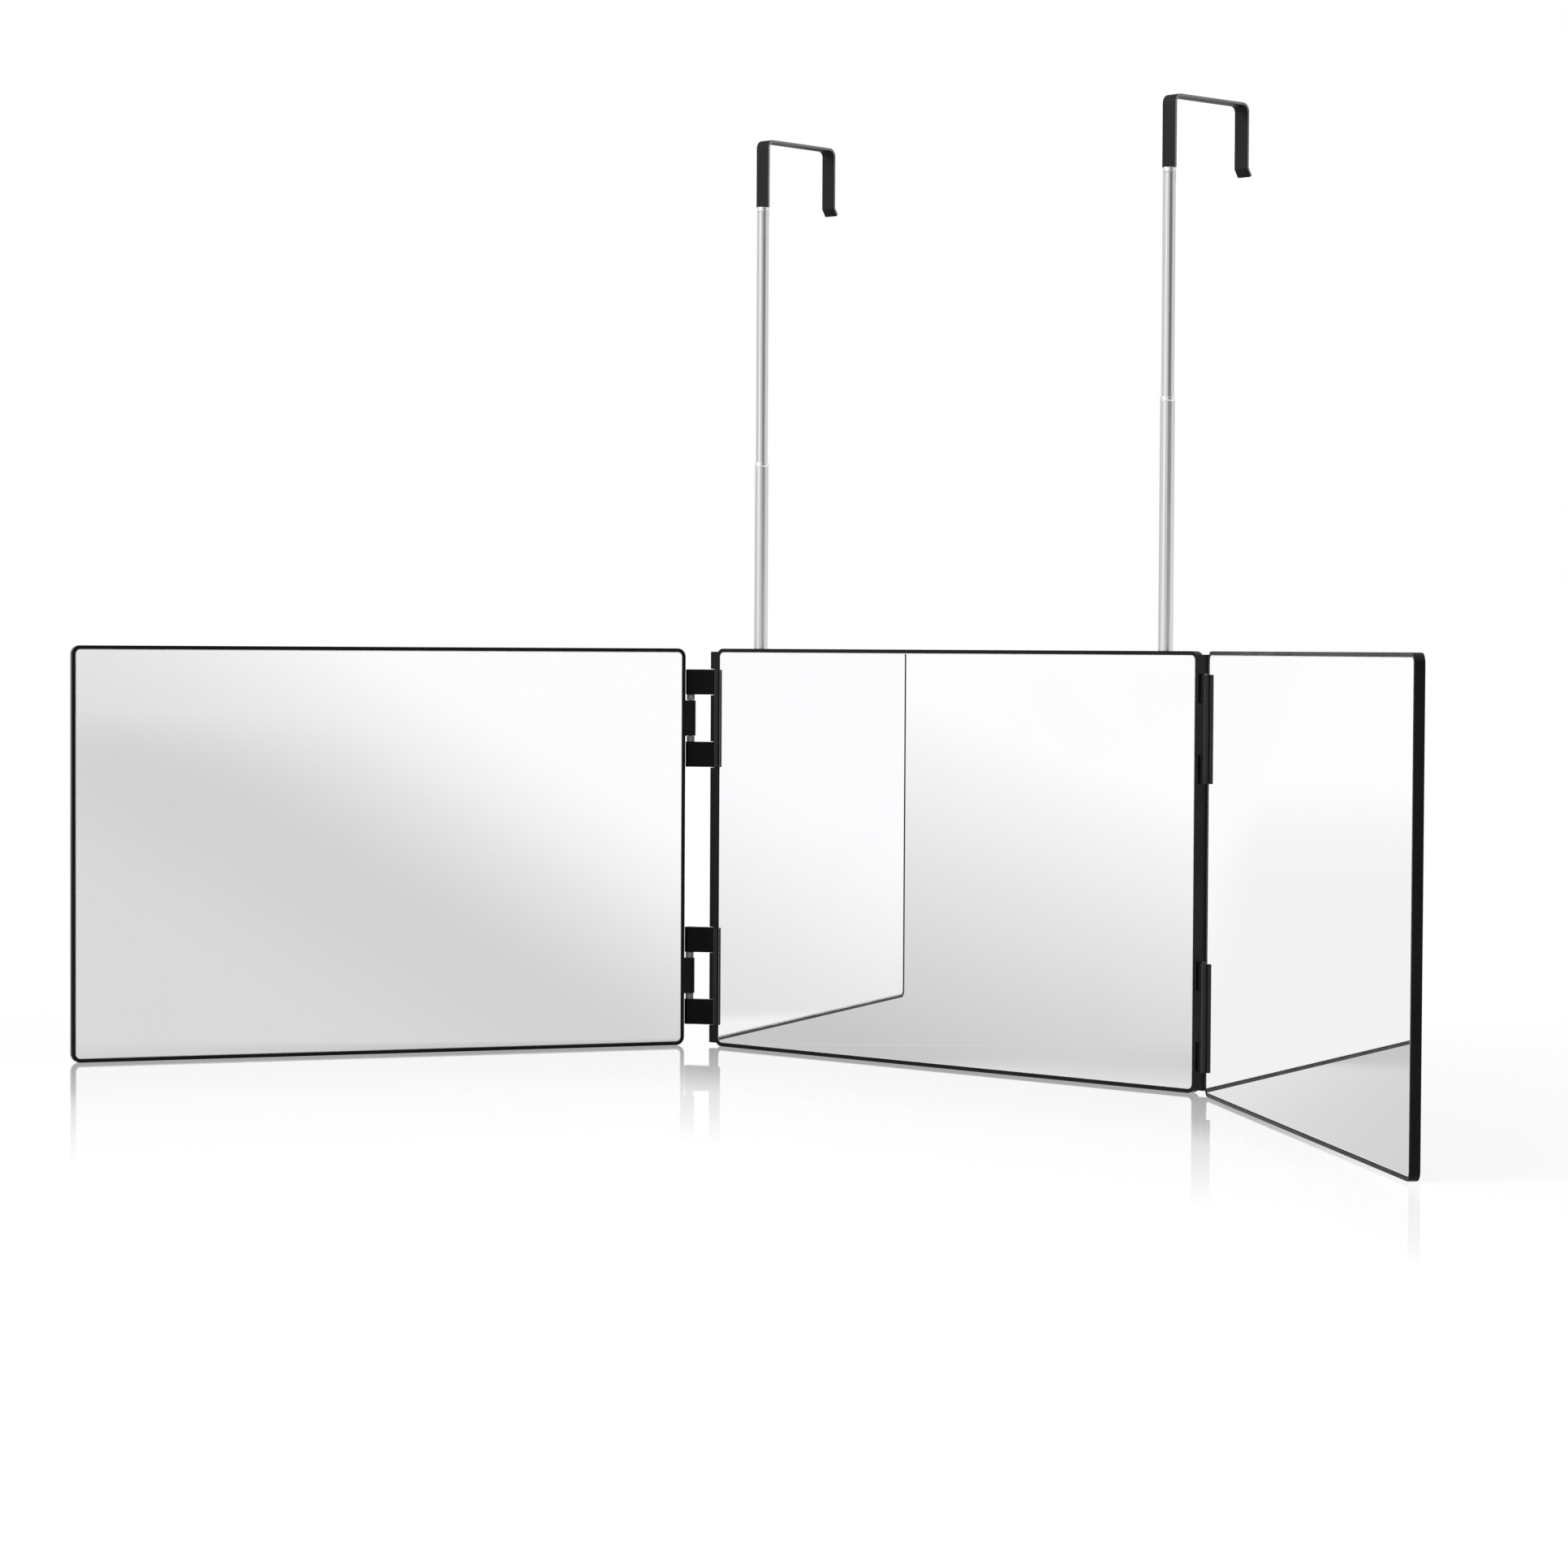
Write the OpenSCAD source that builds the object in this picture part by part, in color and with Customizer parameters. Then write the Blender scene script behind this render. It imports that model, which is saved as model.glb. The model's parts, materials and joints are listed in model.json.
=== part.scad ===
// Trifold mirror on two telescopic rods that end in over-door hooks.
// X runs along the centre panel, Y to its back and Z up, in millimetres.
// The origin is the middle of the centre panel's bottom edge.

/* [Panels] */
// Width of one mirror panel
panel_w = 295; // [270:1:330]
// Height of one mirror panel
panel_h = 190; // [180:1:240]
// Thickness of one panel
panel_t = 4.1; // [4:0.1:5]
// Radius of a panel's corners
corner_r = 4; // [3:0.5:8]
// Width of the rim around the glass
rim_w = 1.5; // [1.2:0.1:2.5]
// Thickness of the mirror glass
glass_t = 1.5; // [1:0.1:1.6]
// Depth of the glass below the rim
glass_recess = 0.2; // [0.1:0.1:0.4]
// Gap between the glass and the rim
glass_gap = 0.1; // [0.05:0.05:0.3]
// Thickness of the adhesive foam behind the glass
tape_t = 0.4; // [0.2:0.1:0.5]
// Distance from the edge of the glass to the edge of the foam
tape_inset = 6; // [3:1:20]

/* [Hinges] */
// Distance from a panel's top or bottom edge to the nearest link arm
hinge_inset = 10; // [8:1:16]
// Distance from the centre panel's top or bottom edge to the end of a hinge rail
rail_inset = 1.5; // [0.5:0.1:3]
// Height of one link arm
arm_h = 12; // [8:0.5:16]
// Height of the window between the two arms of a hinge
window_h = 22.6; // [18:0.1:30]
// How far an arm's barrel stands proud of the panel's faces
barrel_proud = 0.35; // [0.2:0.05:0.6]
// Step from an arm's barrel down to its bar
bar_step = 0.4; // [0.2:0.1:0.8]
// Gap between an arm's barrel and the edge of a wing
wing_gap = 0.9; // [0.6:0.1:2]
// Gap between an arm's barrel and the notch in the centre panel
notch_gap = 0.5; // [0.3:0.1:0.8]
// Gap above and below an arm in its notch
arm_gap = 0.3; // [0.2:0.1:0.6]
// Diameter of a hinge pin
pin_d = 2; // [1.6:0.1:2.2]
// Radial clearance of a pin in the bore that turns on it
pin_fit = 0.05; // [0.02:0.01:0.09]
// Length of an inner pin that reaches past the arms into the rail
pin_reach = 4; // [2:0.5:6]
// Depth of an outer pin's ends inside the arms
pin_sink = 0.5; // [0.2:0.1:1]
// Thickness of a friction washer
washer_t = 2.65; // [1:0.05:4]
// Outer diameter of a friction washer
washer_d = 3.8; // [3:0.1:4]
// Gap between a washer and the knuckle that turns under it
washer_gap = 0.15; // [0.1:0.05:0.3]
// Gap between the centre glass side and the right wing when it is shut
closing_gap = 2.1; // [1.5:0.1:4]
// Gap between the two wings when both are shut
stacking_gap = 1.7; // [1.2:0.1:4]
// Gap between a bumper and the rim that it meets when a wing is shut
bumper_gap = 0.3; // [0.2:0.1:0.6]

/* [Pose] */
// Turn of the left link from flat
left_link_turn = 30; // [0:1:60]
// Turn of the left wing on its link
left_wing_turn = 35.5; // [0:0.5:60]
// Turn of the right link from flat
right_link_turn = 35; // [0:1:60]
// Turn of the right wing on its link
right_wing_turn = 1.5; // [0:0.5:60]
// Length of the left lower rod above the panel
left_lower_out = 87.7; // [5:0.1:130]
// Length of the left upper rod above the lower one
left_upper_out = 118.8; // [5:0.1:130]
// Length of the right lower rod above the panel
right_lower_out = 109.4; // [5:0.1:130]
// Length of the right upper rod above the lower one
right_upper_out = 97.1; // [5:0.1:130]
// Turn of the left hook from square to the panel
left_hook_turn = 4; // [-90:0.5:90]
// Turn of the right hook from square to the panel
right_hook_turn = -1.5; // [-90:0.5:90]

/* [Rods] */
// Distance from the centre panel's side edge to each rod
rod_inset = 23.3; // [13:0.1:80]
// Outer diameter of an upper rod
upper_d = 5.8; // [5.2:0.1:6.2]
// Wall of every tube
tube_wall = 0.36; // [0.25:0.01:0.4]
// Radial clearance between two sliding tubes
slide_fit = 0.04; // [0.02:0.01:0.05]
// Length of a lower rod
lower_len = 172; // [140:1:172]
// Length of an upper rod
upper_len = 160; // [140:1:160]
// Height of the ferrule at a lower rod's top
ferrule_h = 1.6; // [1:0.1:3]
// Wall of the ferrule
ferrule_wall = 0.15; // [0.1:0.05:0.3]
// Thickness of the ferrule's lip over the rod's end
ferrule_lip = 0.3; // [0.2:0.1:0.5]
// Depth of a stop plug inside its tube
plug_h = 5; // [3:0.5:8]
// Thickness of a stop plug's head
plug_head = 1; // [0.8:0.1:2]

/* [Guide covers] */
// Depth of a guide tube's seat in the panel's back
groove_depth = 1.45; // [1:0.05:1.5]
// Clearance around a guide tube in its seat
guide_fit = 0.05; // [0.02:0.01:0.1]
// Distance from a guide tube's top to the panel's top edge
guide_inset = 0.4; // [0.2:0.1:2]
// Width of a cover over its flanges
cover_w = 22; // [20:0.5:26]
// Thickness of a cover's flanges
flange_t = 1.5; // [1.2:0.1:2]
// Wall of a cover over its guide tube
cover_wall = 1.5; // [1:0.1:2]
// Distance from a cover's bottom to the panel's bottom edge
cover_inset = 2; // [1:0.5:6]
// Distance from a cover's top to the panel's top edge
cover_top_inset = 0.6; // [0.4:0.1:3]
// Radius of a cover's corners
cover_corner_r = 2; // [1:0.5:4]
// Distance from a cover's side to its screws
screw_side = 2.8; // [2.2:0.1:4]
// Distance from a cover's ends to its end screws
screw_end = 10; // [6:1:30]
// Diameter of a screw's thread
screw_d = 1.8; // [1.4:0.1:2]
// Diameter of a screw's head
screw_head_d = 3.4; // [2.8:0.1:4]
// Height of a screw's head
screw_head_h = 1; // [0.6:0.1:1.4]
// Width of the cross in a screw's head
screw_cross = 0.5; // [0.4:0.1:0.6]
// Depth of a screw in the panel
screw_bite = 1.65; // [1:0.05:1.7]
// Clearance of a screw in its cover
screw_fit = 0.1; // [0.05:0.05:0.2]

/* [Hooks] */
// Clear distance between the two legs of a hook
hook_gap = 46.8; // [36:0.1:52]
// Height of a hook above its stud
hook_h = 31.8; // [24:0.1:45]
// Width of the strap
strap_w = 7.5; // [6:0.1:12]
// Thickness of the strap
strap_t = 1.2; // [1:0.1:1.8]
// Inner radius of the strap's bends
bend_r = 3.3; // [1.5:0.1:6]
// Height of the flared tip of the rear leg
flare_h = 5.5; // [3:0.5:10]
// How far the flared tip leans out
flare_out = 2.3; // [1:0.1:4]
// Width of the tang under the front leg
tang_w = 3.6; // [2.5:0.1:3.8]
// Length of the tang in the stud
tang_h = 6; // [3:0.5:8]
// Diameter of the stud's collar
collar_d = 6; // [5.8:0.1:7]
// Height of the stud's collar
collar_h = 1.9; // [1.2:0.1:3]
// Gap between the collar and the rod's end
collar_gap = 0.1; // [0.05:0.05:0.3]
// Length of the stud inside the rod
stud_len = 12; // [10:0.5:20]
// Radial clearance of the stud in the rod
stud_fit = 0.05; // [0.02:0.01:0.09]
// Distance from the rod's end to the bead that keeps the stud
bead_down = 9; // [8:0.5:9.5]
// Height of the bead
bead_h = 0.8; // [0.5:0.1:1.2]
// How far the bead stands in from the rod's bore
bead_in = 0.3; // [0.15:0.05:0.4]
// Gap above and below the bead in the stud's groove
bead_gap = 0.2; // [0.1:0.05:0.3]

/* [Hidden] */
$fn = 64;

// The sides, as the sign of X
LEFT = -1;
RIGHT = 1;
// Overshoot of a cut past the face that it opens
cut = 1;
// Smallest radius of a rounded corner inside the rim
least_r = 0.3;

// Colours, as seen in the photograph
black_plastic = [0.13, 0.13, 0.13];
black_steel = [0.16, 0.16, 0.16];
black_rubber = [0.08, 0.08, 0.08];
silvered_glass = [0.86, 0.89, 0.9];
white_foam = [0.92, 0.92, 0.9];
bright_tube = [0.75, 0.76, 0.77];
bright_ring = [0.85, 0.85, 0.86];
steel_pin = [0.6, 0.6, 0.62];
pale_nylon = [0.82, 0.82, 0.8];

// Panel faces and pocket
front_y = -panel_t / 2;
back_y = panel_t / 2;
glass_y = front_y + glass_recess;
tape_y = glass_y + glass_t;
floor_y = tape_y + tape_t;
pocket_r = max(corner_r - rim_w, least_r);
glass_in = rim_w + glass_gap;
glass_r = max(corner_r - glass_in, least_r);
tape_in = glass_in + tape_inset;

// Hinge pins and links
barrel_r = panel_t / 2 + barrel_proud;
pin_offset = barrel_r + wing_gap;
pin_x = panel_w / 2 + pin_offset;
right_span = panel_t + closing_gap;
left_span = 2 * panel_t + closing_gap + stacking_gap;
hinge_h = 2 * arm_h + window_h;
hinge_z = [hinge_inset, panel_h - hinge_inset - hinge_h];
arm_z = [0, arm_h + window_h];
knuckle_z = arm_h + washer_t + washer_gap;
knuckle_h = window_h - 2 * (washer_t + washer_gap);
washer_z = [arm_h, arm_h + window_h - washer_t];
running_r = pin_d / 2 + pin_fit;
bumper_h = closing_gap - bumper_gap;

// Rods and their guides
rod_x = panel_w / 2 - rod_inset;
upper_r = upper_d / 2;
lower_bore_r = upper_r + slide_fit;
lower_r = lower_bore_r + tube_wall;
guide_bore_r = lower_r + slide_fit;
guide_r = guide_bore_r + tube_wall;
rod_y = back_y + guide_r - groove_depth;
seat_r = guide_r + guide_fit;
seat_z = cover_inset + cover_wall;
guide_z = seat_z + plug_head;
guide_top = panel_h - guide_inset;
cover_h = panel_h - cover_top_inset - cover_inset;
bulge_r = seat_r + cover_wall;
screw_x = cover_w / 2 - screw_side;
screw_z = [cover_inset + screw_end, cover_inset + cover_h / 2, cover_inset + cover_h - screw_end];
upper_bore_r = upper_r - tube_wall;
stud_r = upper_bore_r - stud_fit;
bead_r = upper_bore_r - bead_in;

function link_turn(side) = side == LEFT ? left_link_turn : right_link_turn;
function wing_turn(side) = side == LEFT ? left_wing_turn : right_wing_turn;
function span(side) = side == LEFT ? left_span : right_span;
function hook_turn(side) = side == LEFT ? left_hook_turn : right_hook_turn;
function lower_top(side) = panel_h + (side == LEFT ? left_lower_out : right_lower_out);
function upper_top(side) = lower_top(side) + (side == LEFT ? left_upper_out : right_upper_out);
function strap_z(side) = upper_top(side) + collar_gap + collar_h;

// A rectangle with round corners, its lower left corner at the origin
module rounded_rect(w, h, r) {
    translate([r, 0]) square([w - 2 * r, h]);
    translate([0, r]) square([w, h - 2 * r]);
    for (x = [r, w - r], y = [r, h - r])
        translate([x, y]) circle(r);
}

// An upright plate with round corners, from X = 0 and Z = 0, between two Y planes
module plate(w, h, r, front, back) {
    translate([0, back, 0]) rotate([90, 0, 0])
        linear_extrude(back - front) rounded_rect(w, h, r);
}

// The same plate set in from a panel's edges
module inset_plate(inset, r, front, back) {
    translate([inset, 0, inset])
        plate(panel_w - 2 * inset, panel_h - 2 * inset, r, front, back);
}

// An upright tube
module tube(outer_r, inner_r, bottom, top) {
    translate([0, 0, bottom]) difference() {
        cylinder(r = outer_r, h = top - bottom);
        translate([0, 0, -cut]) cylinder(r = inner_r, h = top - bottom + 2 * cut);
    }
}

// A shape drawn for the right side, mirrored for the left
module handed(side) {
    if (side == LEFT) mirror([1, 0, 0]) children();
    else children();
}

// A link's place: its inner pin is at the origin and it runs along +X
module on_link(side) {
    translate([side * pin_x, 0, 0]) rotate([0, 0, -side * link_turn(side)])
        handed(side) children();
}

// A wing's place: its pin is at the origin and it runs along +X
module on_wing(side) {
    translate([side * pin_x, 0, 0]) rotate([0, 0, -side * link_turn(side)])
        translate([side * span(side), 0, 0]) rotate([0, 0, -side * wing_turn(side)])
            handed(side) children();
}

// A wing's panel, past its pin
module on_wing_panel(side) {
    on_wing(side) translate([pin_offset, 0, 0]) children();
}

// The centre panel, from its left edge
module on_center() {
    translate([-panel_w / 2, 0, 0]) children();
}

// A rod's axis
module on_rod(side) {
    translate([side * rod_x, rod_y, 0]) children();
}

// The pocket that takes the foam and the glass
module glass_pocket() {
    inset_plate(rim_w, pocket_r, front_y - cut, floor_y);
}

module glass() {
    color(silvered_glass) inset_plate(glass_in, glass_r, glass_y, tape_y);
}

module tape() {
    color(white_foam) inset_plate(tape_in, glass_r, tape_y, floor_y);
}

// Two rubber strips on the rim, one at each hinge
module bumpers() {
    color(black_rubber) for (z = hinge_z)
        translate([0, front_y - bumper_h, z]) cube([rim_w, bumper_h, hinge_h]);
}

// A hinge rail on the centre panel's right side, with a round outer edge
module hinge_rail() {
    root_x = panel_w / 2 - corner_r;
    translate([0, 0, rail_inset]) linear_extrude(panel_h - 2 * rail_inset) {
        translate([root_x, front_y]) square([pin_x - root_x, panel_t]);
        translate([pin_x, 0]) circle(panel_t / 2);
    }
}

// The centre panel with its two hinge rails, before any cut
module center_blank() {
    on_center() inset_plate(0, corner_r, front_y, back_y);
    for (side = [LEFT, RIGHT]) handed(side) hinge_rail();
}

// Notches for the arms on one rail
module arm_notches() {
    for (z = hinge_z, up = arm_z)
        translate([-barrel_r - notch_gap, -panel_t, z + up - arm_gap])
            cube([2 * barrel_r + notch_gap, 2 * panel_t, arm_h + 2 * arm_gap]);
}

// Bores for the inner pins on one rail, open to the panel's edges
module rail_bores() {
    reach = hinge_h + pin_reach + arm_gap;
    translate([0, 0, -cut])
        cylinder(r = running_r, h = hinge_z[0] + reach + cut);
    translate([0, 0, hinge_z[1] + hinge_h - reach])
        cylinder(r = running_r, h = reach + hinge_inset + cut);
}

module center_frame() {
    color(black_plastic) difference() {
        center_blank();
        on_center() glass_pocket();
        for (side = [LEFT, RIGHT]) {
            translate([side * pin_x, 0, 0]) handed(side) {
                arm_notches();
                rail_bores();
            }
            on_rod(side) translate([0, 0, seat_z]) cylinder(r = seat_r, h = panel_h);
            at_screws(side) translate([0, 0, -screw_bite])
                cylinder(d = screw_d, h = screw_bite + cut);
        }
    }
}

module center_tape() on_center() tape();

module center_mirror() on_center() glass();

module center_bumpers() on_center() bumpers();

// The panel's back at each screw of one cover, with +Z pointing out of it
module at_screws(side) {
    for (x = [-screw_x, screw_x], z = screw_z)
        translate([side * rod_x + x, back_y, z]) rotate([-90, 0, 0]) children();
}

module guide_tube(side) {
    color(bright_tube) on_rod(side) tube(guide_r, guide_bore_r, guide_z, guide_top);
}

// A plug with a head under the tube's end
module plug(side, end_z, bore_r, head_r) {
    color(pale_nylon) on_rod(side) {
        translate([0, 0, end_z]) cylinder(r = bore_r, h = plug_h);
        translate([0, 0, end_z - plug_head]) cylinder(r = head_r, h = plug_head);
    }
}

// The cover's section: two flanges and a bulge round the guide tube
module cover_section() {
    difference() {
        union() {
            translate([-cover_w / 2, back_y]) square([cover_w, flange_t]);
            intersection() {
                translate([0, rod_y]) circle(bulge_r);
                translate([-bulge_r, back_y]) square(2 * bulge_r);
            }
        }
        translate([0, rod_y]) circle(seat_r);
        translate([-seat_r, 0]) square([2 * seat_r, rod_y]);
    }
}

module guide_cover(side) {
    color(black_plastic) difference() {
        intersection() {
            union() {
                translate([side * rod_x, 0, cover_inset])
                    linear_extrude(cover_h) cover_section();
                translate([side * rod_x - seat_r, back_y, cover_inset])
                    cube([2 * seat_r, rod_y - back_y, cover_wall]);
                on_rod(side) translate([0, 0, cover_inset])
                    cylinder(r = seat_r, h = cover_wall);
            }
            translate([side * rod_x - cover_w / 2, 0, cover_inset])
                plate(cover_w, cover_h, cover_corner_r, back_y, rod_y + 2 * bulge_r);
        }
        at_screws(side) translate([0, 0, -cut])
            cylinder(r = screw_d / 2 + screw_fit, h = flange_t + 2 * cut);
    }
}

module screw() {
    translate([0, 0, -screw_bite]) cylinder(d = screw_d, h = screw_bite + flange_t);
    translate([0, 0, flange_t]) difference() {
        cylinder(d = screw_head_d, h = screw_head_h);
        for (turn = [0, 90]) rotate([0, 0, turn])
            translate([-screw_head_d / 3, -screw_cross / 2, screw_head_h / 2])
                cube([screw_head_d * 2 / 3, screw_cross, screw_head_h]);
    }
}

module cover_screws() {
    color(black_steel) for (side = [LEFT, RIGHT]) at_screws(side) screw();
}

// One arm: two barrels joined by a bar
module link_arm(length) {
    difference() {
        linear_extrude(arm_h) {
            for (x = [0, length]) translate([x, 0]) circle(barrel_r);
            translate([0, bar_step - barrel_r]) square([length, 2 * (barrel_r - bar_step)]);
        }
        for (x = [0, length]) translate([x, 0, -cut]) cylinder(d = pin_d, h = arm_h + 2 * cut);
    }
}

module link_arms(side) {
    color(black_plastic) on_link(side)
        for (z = hinge_z, up = arm_z) translate([0, 0, z + up]) link_arm(span(side));
}

module inner_pins(side) {
    color(steel_pin) on_link(side)
        for (z = hinge_z) translate([0, 0, z - pin_reach])
            cylinder(d = pin_d, h = hinge_h + 2 * pin_reach);
}

module outer_pins(side) {
    color(steel_pin) on_link(side)
        for (z = hinge_z) translate([span(side), 0, z + pin_sink])
            cylinder(d = pin_d, h = hinge_h - 2 * pin_sink);
}

module link_washers(side) {
    color(pale_nylon) on_link(side)
        for (z = hinge_z, up = washer_z) translate([span(side), 0, 0])
            tube(washer_d / 2, pin_d / 2, z + up, z + up + washer_t);
}

// A wing's knuckle: a barrel round the pin and a neck to the panel
module knuckle() {
    cylinder(r = barrel_r, h = knuckle_h);
    translate([0, front_y, 0]) cube([pin_offset + rim_w / 2, panel_t, knuckle_h]);
}

module wing_frame(side) {
    color(black_plastic) difference() {
        union() {
            on_wing_panel(side) inset_plate(0, corner_r, front_y, back_y);
            on_wing(side) for (z = hinge_z) translate([0, 0, z + knuckle_z]) knuckle();
        }
        on_wing_panel(side) glass_pocket();
        on_wing(side) for (z = hinge_z) translate([0, 0, z])
            cylinder(r = running_r, h = hinge_h);
    }
}

module lower_tube(side) {
    color(bright_tube) on_rod(side)
        tube(lower_r, lower_bore_r, lower_top(side) - lower_len, lower_top(side));
}

// A ring round the lower rod's end with a lip over it
module lower_ferrule(side) {
    color(bright_ring) on_rod(side) translate([0, 0, lower_top(side)]) {
        tube(lower_r + ferrule_wall, lower_r, -ferrule_h, 0);
        tube(lower_r + ferrule_wall, lower_bore_r, 0, ferrule_lip);
    }
}

// An upper rod, with the bead that keeps the stud
module upper_tube(side) {
    color(bright_tube) on_rod(side) translate([0, 0, upper_top(side)]) {
        tube(upper_r, upper_bore_r, -upper_len, 0);
        tube(upper_r - tube_wall / 2, bead_r, -bead_down - bead_h, -bead_down);
    }
}

// A stud that turns in the rod, with a collar above and a slot for the tang
module hook_stud(side) {
    color(bright_ring) on_rod(side) translate([0, 0, upper_top(side)])
        rotate([0, 0, hook_turn(side)]) difference() {
            union() {
                translate([0, 0, -stud_len]) cylinder(r = stud_r, h = stud_len + collar_gap);
                translate([0, 0, collar_gap]) cylinder(d = collar_d, h = collar_h);
            }
            tube(stud_r + cut, bead_r - stud_fit, -bead_down - bead_h - bead_gap, bead_gap - bead_down);
            translate([-tang_w / 2, -strap_t / 2, collar_gap + collar_h - tang_h])
                cube([tang_w, strap_t, tang_h + cut]);
        }
}

// The strap's path seen from the side: X runs from the front leg to the rear one
module strap_section() {
    inner_h = hook_h - strap_t;
    difference() {
        translate([-strap_t / 2, 0])
            bridge_outline(hook_gap + 2 * strap_t, hook_h, bend_r + strap_t);
        translate([strap_t / 2, -cut])
            bridge_outline(hook_gap, inner_h + cut, bend_r);
        translate([strap_t / 2 + bend_r, -cut])
            square([hook_gap + 2 * strap_t, flare_h + cut]);
    }
    translate([strap_t / 2 + hook_gap, 0])
        polygon([[0, flare_h], [flare_out, 0], [flare_out + strap_t, 0], [strap_t, flare_h]]);
}

// A rectangle whose two upper corners are round
module bridge_outline(w, h, r) {
    square([w, h - r]);
    translate([r, 0]) square([w - 2 * r, h]);
    for (x = [r, w - r]) translate([x, h - r]) circle(r);
}

module hook_strap(side) {
    color(black_steel) on_rod(side) translate([0, 0, strap_z(side)])
        rotate([0, 0, hook_turn(side)]) {
            translate([-strap_w / 2, 0, 0]) rotate([90, 0, 90])
                linear_extrude(strap_w) strap_section();
            translate([-tang_w / 2, -strap_t / 2, -tang_h]) cube([tang_w, strap_t, tang_h]);
        }
}

module left_guide_tube() guide_tube(LEFT);
module left_guide_plug() plug(LEFT, guide_z, guide_bore_r, guide_r);
module left_guide_cover() guide_cover(LEFT);
module right_guide_tube() guide_tube(RIGHT);
module right_guide_plug() plug(RIGHT, guide_z, guide_bore_r, guide_r);
module right_guide_cover() guide_cover(RIGHT);
module left_link_arms() link_arms(LEFT);
module left_inner_pins() inner_pins(LEFT);
module left_outer_pins() outer_pins(LEFT);
module left_link_washers() link_washers(LEFT);
module right_link_arms() link_arms(RIGHT);
module right_inner_pins() inner_pins(RIGHT);
module right_outer_pins() outer_pins(RIGHT);
module right_link_washers() link_washers(RIGHT);
module left_frame() wing_frame(LEFT);
module left_tape() on_wing_panel(LEFT) tape();
module left_mirror() on_wing_panel(LEFT) glass();
module right_frame() wing_frame(RIGHT);
module right_tape() on_wing_panel(RIGHT) tape();
module right_mirror() on_wing_panel(RIGHT) glass();
module right_bumpers() on_wing_panel(RIGHT) bumpers();
module left_lower_tube() lower_tube(LEFT);
module left_lower_ferrule() lower_ferrule(LEFT);
module left_lower_stop() plug(LEFT, lower_top(LEFT) - lower_len, lower_bore_r, lower_r);
module left_upper_tube() upper_tube(LEFT);
module left_upper_stop() plug(LEFT, upper_top(LEFT) - upper_len, upper_bore_r, upper_r);
module left_hook_stud() hook_stud(LEFT);
module left_hook_strap() hook_strap(LEFT);
module right_lower_tube() lower_tube(RIGHT);
module right_lower_ferrule() lower_ferrule(RIGHT);
module right_lower_stop() plug(RIGHT, lower_top(RIGHT) - lower_len, lower_bore_r, lower_r);
module right_upper_tube() upper_tube(RIGHT);
module right_upper_stop() plug(RIGHT, upper_top(RIGHT) - upper_len, upper_bore_r, upper_r);
module right_hook_stud() hook_stud(RIGHT);
module right_hook_strap() hook_strap(RIGHT);

center_frame();
center_tape();
center_mirror();
center_bumpers();
left_guide_tube();
left_guide_plug();
left_guide_cover();
right_guide_tube();
right_guide_plug();
right_guide_cover();
cover_screws();
left_link_arms();
left_inner_pins();
left_outer_pins();
left_link_washers();
right_link_arms();
right_inner_pins();
right_outer_pins();
right_link_washers();
left_frame();
left_tape();
left_mirror();
right_frame();
right_tape();
right_mirror();
right_bumpers();
left_lower_tube();
left_lower_ferrule();
left_lower_stop();
left_upper_tube();
left_upper_stop();
left_hook_stud();
left_hook_strap();
right_lower_tube();
right_lower_ferrule();
right_lower_stop();
right_upper_tube();
right_upper_stop();
right_hook_stud();
right_hook_strap();
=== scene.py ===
"""Dresses a trifold mirror on two telescopic over-door rods, and sets up its studio.

Every length is in metres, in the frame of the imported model: X along the centre panel, Y to
its back and Z up, from the middle of the centre panel's bottom edge.
"""
from __future__ import annotations

import json
import logging
import math
from dataclasses import dataclass, field
from enum import Enum
from typing import Iterable, Sequence

import bmesh
import bpy
from mathutils import Matrix, Vector

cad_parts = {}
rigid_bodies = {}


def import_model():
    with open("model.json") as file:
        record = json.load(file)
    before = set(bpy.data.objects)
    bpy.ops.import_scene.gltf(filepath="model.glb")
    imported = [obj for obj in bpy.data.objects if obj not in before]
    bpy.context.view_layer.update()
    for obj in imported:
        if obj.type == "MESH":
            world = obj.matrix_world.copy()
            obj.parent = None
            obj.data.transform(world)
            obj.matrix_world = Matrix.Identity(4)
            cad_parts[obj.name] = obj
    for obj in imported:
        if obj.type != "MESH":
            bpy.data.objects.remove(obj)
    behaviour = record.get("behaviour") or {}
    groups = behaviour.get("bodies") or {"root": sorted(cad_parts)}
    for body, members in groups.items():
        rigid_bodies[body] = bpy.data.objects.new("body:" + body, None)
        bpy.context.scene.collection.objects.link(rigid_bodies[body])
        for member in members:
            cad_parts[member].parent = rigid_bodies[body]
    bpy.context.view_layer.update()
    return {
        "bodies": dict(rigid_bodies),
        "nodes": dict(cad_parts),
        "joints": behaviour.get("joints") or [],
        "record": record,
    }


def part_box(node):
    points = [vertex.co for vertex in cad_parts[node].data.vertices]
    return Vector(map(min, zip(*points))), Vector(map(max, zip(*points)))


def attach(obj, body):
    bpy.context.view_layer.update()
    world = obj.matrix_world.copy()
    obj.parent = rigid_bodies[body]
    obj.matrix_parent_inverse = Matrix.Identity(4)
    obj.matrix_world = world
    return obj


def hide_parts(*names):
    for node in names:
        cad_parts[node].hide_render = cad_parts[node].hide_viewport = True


LOG = logging.getLogger("trifold_mirror")
MM = 0.001
WELD = 0.002 * MM
# Angles between faces: one face up to the first, an eased or a sharp edge from the others
FLAT_ANGLE = math.radians(0.3)
EASED_ANGLE = math.radians(35)
CREASE_ANGLE = math.radians(32)
TURNED_CREASE_ANGLE = math.radians(40)
# How much of a side a rounded corner takes at most
CORNER_SHARE = 0.45

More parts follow.
